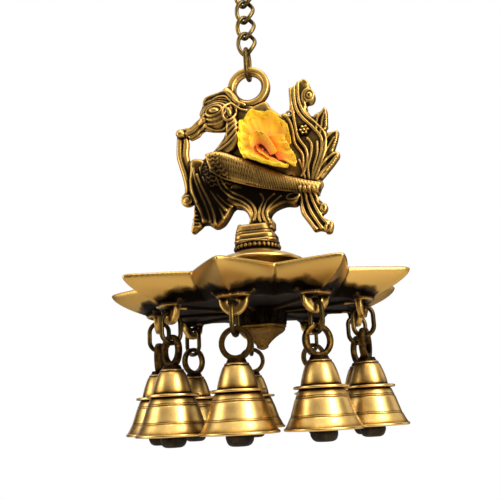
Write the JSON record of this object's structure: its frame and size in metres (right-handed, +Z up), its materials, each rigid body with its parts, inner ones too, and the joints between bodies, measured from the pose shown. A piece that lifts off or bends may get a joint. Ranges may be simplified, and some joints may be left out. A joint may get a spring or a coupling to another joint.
{
  "type": "hanging temple lamp with bells",
  "caption": "Hanging brass temple lamp: a peacock above a star tray of pointed oil petals, with a small bell on a ring below each petal, on a twisted-link chain with a top hook.",
  "frame": {"origin": "the point where the top hook hangs, at the inside of its upper arch, on the lamp's axis", "axes": "+Z up along the chain; the bird faces -X; its broad side and petal 1 face -Y"},
  "size_m": [0.1576, 0.1552, 0.2933],
  "materials": {
    "antique_brass": "cast, darkened, rubbed bright on the high spots",
    "polished_brass": "turned and lacquered satin",
    "chain_brass": "drawn wire, tumbled, dark in the hollows",
    "dark_iron": "blackened, dull",
    "marigold": "soft matt petals"
  },
  "bodies": {
    "hook": {"top_hook": "chain_brass"},
    "link_4": {"chain_link_4": "chain_brass"},
    "link_3": {"chain_link_3": "chain_brass"},
    "link_2": {"chain_link_2": "chain_brass"},
    "link_1": {"chain_link_1": "chain_brass"},
    "coupling": {"long_link": "chain_brass"},
    "lamp": {"peacock": "antique_brass", "blossom": "marigold", "beaded_collar": "antique_brass", "centre_stand": "polished_brass", "petal_tray": "antique_brass", "fluted_drum": "antique_brass", "finial_nut": "antique_brass", "threaded_stud": "antique_brass"},
    "ring_1": {"bell_ring_1": "antique_brass"},
    "bell_1": {"bell_1": "polished_brass", "clapper_staple_1": "dark_iron"},
    "clapper_1": {"clapper_1": "dark_iron"},
    "ring_2": {"bell_ring_2": "antique_brass"},
    "bell_2": {"bell_2": "polished_brass", "clapper_staple_2": "dark_iron"},
    "clapper_2": {"clapper_2": "dark_iron"},
    "ring_3": {"bell_ring_3": "antique_brass"},
    "bell_3": {"bell_3": "polished_brass", "clapper_staple_3": "dark_iron"},
    "clapper_3": {"clapper_3": "dark_iron"},
    "ring_4": {"bell_ring_4": "antique_brass"},
    "bell_4": {"bell_4": "polished_brass", "clapper_staple_4": "dark_iron"},
    "clapper_4": {"clapper_4": "dark_iron"},
    "ring_5": {"bell_ring_5": "antique_brass"},
    "bell_5": {"bell_5": "polished_brass", "clapper_staple_5": "dark_iron"},
    "clapper_5": {"clapper_5": "dark_iron"},
    "ring_6": {"bell_ring_6": "antique_brass"},
    "bell_6": {"bell_6": "polished_brass", "clapper_staple_6": "dark_iron"},
    "clapper_6": {"clapper_6": "dark_iron"},
    "ring_7": {"bell_ring_7": "antique_brass"},
    "bell_7": {"bell_7": "polished_brass", "clapper_staple_7": "dark_iron"},
    "clapper_7": {"clapper_7": "dark_iron"},
    "ring_8": {"bell_ring_8": "antique_brass"},
    "bell_8": {"bell_8": "polished_brass", "clapper_staple_8": "dark_iron"},
    "clapper_8": {"clapper_8": "dark_iron"},
    "ring_9": {"bell_ring_9": "antique_brass"},
    "bell_9": {"bell_9": "polished_brass", "clapper_staple_9": "dark_iron"},
    "clapper_9": {"clapper_9": "dark_iron"}
  },
  "joints": [
    {"name": "link_4_swing", "type": "hinge", "parent": "hook", "child": "link_4", "pos_m": [0, 0, -0.031], "axis": [0, 1, 0], "range_deg": [-14, 14]},
    {"name": "link_3_swing", "type": "hinge", "parent": "link_4", "child": "link_3", "pos_m": [0, 0, -0.04135], "axis": [1, 0, 0], "range_deg": [-14, 14]},
    {"name": "link_2_swing", "type": "hinge", "parent": "link_3", "child": "link_2", "pos_m": [0, 0, -0.05185], "axis": [0, 1, 0], "range_deg": [-14, 14]},
    {"name": "link_1_swing", "type": "hinge", "parent": "link_2", "child": "link_1", "pos_m": [0, 0, -0.06235], "axis": [1, 0, 0], "range_deg": [-14, 14]},
    {"name": "long_link_swing", "type": "hinge", "parent": "link_1", "child": "coupling", "pos_m": [0, 0, -0.0766], "axis": [1, 0, 0], "range_deg": [-14, 14]},
    {"name": "lamp_swing", "type": "hinge", "parent": "coupling", "child": "lamp", "pos_m": [0, 0, -0.09], "axis": [0, 1, 0], "range_deg": [-20, 20]},
    {"name": "ring_1_swing", "type": "hinge", "parent": "lamp", "child": "ring_1", "pos_m": [0, -0.0545, -0.23273], "axis": [-1, 0, 0], "range_deg": [-2, 24]},
    {"name": "bell_1_sway", "type": "hinge", "parent": "ring_1", "child": "bell_1", "pos_m": [0, -0.0545, -0.24228], "axis": [0, -1, 0], "range_deg": [-2, 2]},
    {"name": "clapper_1_swing", "type": "hinge", "parent": "bell_1", "child": "clapper_1", "pos_m": [0, -0.0545, -0.26448], "axis": [-1, 0, 0], "range_deg": [-18, 18]},
    {"name": "ring_2_swing", "type": "hinge", "parent": "lamp", "child": "ring_2", "pos_m": [0.03503, -0.04175, -0.23273], "axis": [-0.766, -0.6428, 0], "range_deg": [-2, 24]},
    {"name": "bell_2_sway", "type": "hinge", "parent": "ring_2", "child": "bell_2", "pos_m": [0.03503, -0.04175, -0.24228], "axis": [0.6428, -0.766, 0], "range_deg": [-2, 2]},
    {"name": "clapper_2_swing", "type": "hinge", "parent": "bell_2", "child": "clapper_2", "pos_m": [0.03503, -0.04175, -0.26448], "axis": [-0.766, -0.6428, 0], "range_deg": [-18, 18]},
    {"name": "ring_3_swing", "type": "hinge", "parent": "lamp", "child": "ring_3", "pos_m": [0.05367, -0.00946, -0.23273], "axis": [-0.1736, -0.9848, 0], "range_deg": [-2, 24]},
    {"name": "bell_3_sway", "type": "hinge", "parent": "ring_3", "child": "bell_3", "pos_m": [0.05367, -0.00946, -0.24228], "axis": [0.9848, -0.1736, 0], "range_deg": [-2, 2]},
    {"name": "clapper_3_swing", "type": "hinge", "parent": "bell_3", "child": "clapper_3", "pos_m": [0.05367, -0.00946, -0.26448], "axis": [-0.1736, -0.9848, 0], "range_deg": [-18, 18]},
    {"name": "ring_4_swing", "type": "hinge", "parent": "lamp", "child": "ring_4", "pos_m": [0.0472, 0.02725, -0.23273], "axis": [0.5, -0.866, 0], "range_deg": [-2, 24]},
    {"name": "bell_4_sway", "type": "hinge", "parent": "ring_4", "child": "bell_4", "pos_m": [0.0472, 0.02725, -0.24228], "axis": [0.866, 0.5, 0], "range_deg": [-2, 2]},
    {"name": "clapper_4_swing", "type": "hinge", "parent": "bell_4", "child": "clapper_4", "pos_m": [0.0472, 0.02725, -0.26448], "axis": [0.5, -0.866, 0], "range_deg": [-18, 18]},
    {"name": "ring_5_swing", "type": "hinge", "parent": "lamp", "child": "ring_5", "pos_m": [0.01864, 0.05121, -0.23273], "axis": [0.9397, -0.342, 0], "range_deg": [-2, 24]},
    {"name": "bell_5_sway", "type": "hinge", "parent": "ring_5", "child": "bell_5", "pos_m": [0.01864, 0.05121, -0.24228], "axis": [0.342, 0.9397, 0], "range_deg": [-2, 2]},
    {"name": "clapper_5_swing", "type": "hinge", "parent": "bell_5", "child": "clapper_5", "pos_m": [0.01864, 0.05121, -0.26448], "axis": [0.9397, -0.342, 0], "range_deg": [-18, 18]},
    {"name": "ring_6_swing", "type": "hinge", "parent": "lamp", "child": "ring_6", "pos_m": [-0.01864, 0.05121, -0.23273], "axis": [0.9397, 0.342, 0], "range_deg": [-2, 24]},
    {"name": "bell_6_sway", "type": "hinge", "parent": "ring_6", "child": "bell_6", "pos_m": [-0.01864, 0.05121, -0.24228], "axis": [-0.342, 0.9397, 0], "range_deg": [-2, 2]},
    {"name": "clapper_6_swing", "type": "hinge", "parent": "bell_6", "child": "clapper_6", "pos_m": [-0.01864, 0.05121, -0.26448], "axis": [0.9397, 0.342, 0], "range_deg": [-18, 18]},
    {"name": "ring_7_swing", "type": "hinge", "parent": "lamp", "child": "ring_7", "pos_m": [-0.0472, 0.02725, -0.23273], "axis": [0.5, 0.866, 0], "range_deg": [-2, 24]},
    {"name": "bell_7_sway", "type": "hinge", "parent": "ring_7", "child": "bell_7", "pos_m": [-0.0472, 0.02725, -0.24228], "axis": [-0.866, 0.5, 0], "range_deg": [-2, 2]},
    {"name": "clapper_7_swing", "type": "hinge", "parent": "bell_7", "child": "clapper_7", "pos_m": [-0.0472, 0.02725, -0.26448], "axis": [0.5, 0.866, 0], "range_deg": [-18, 18]},
    {"name": "ring_8_swing", "type": "hinge", "parent": "lamp", "child": "ring_8", "pos_m": [-0.05367, -0.00946, -0.23273], "axis": [-0.1736, 0.9848, 0], "range_deg": [-2, 24]},
    {"name": "bell_8_sway", "type": "hinge", "parent": "ring_8", "child": "bell_8", "pos_m": [-0.05367, -0.00946, -0.24228], "axis": [-0.9848, -0.1736, 0], "range_deg": [-2, 2]},
    {"name": "clapper_8_swing", "type": "hinge", "parent": "bell_8", "child": "clapper_8", "pos_m": [-0.05367, -0.00946, -0.26448], "axis": [-0.1736, 0.9848, 0], "range_deg": [-18, 18]},
    {"name": "ring_9_swing", "type": "hinge", "parent": "lamp", "child": "ring_9", "pos_m": [-0.03503, -0.04175, -0.23273], "axis": [-0.766, 0.6428, 0], "range_deg": [-2, 24]},
    {"name": "bell_9_sway", "type": "hinge", "parent": "ring_9", "child": "bell_9", "pos_m": [-0.03503, -0.04175, -0.24228], "axis": [-0.6428, -0.766, 0], "range_deg": [-2, 2]},
    {"name": "clapper_9_swing", "type": "hinge", "parent": "bell_9", "child": "clapper_9", "pos_m": [-0.03503, -0.04175, -0.26448], "axis": [-0.766, 0.6428, 0], "range_deg": [-18, 18]}
  ]
}
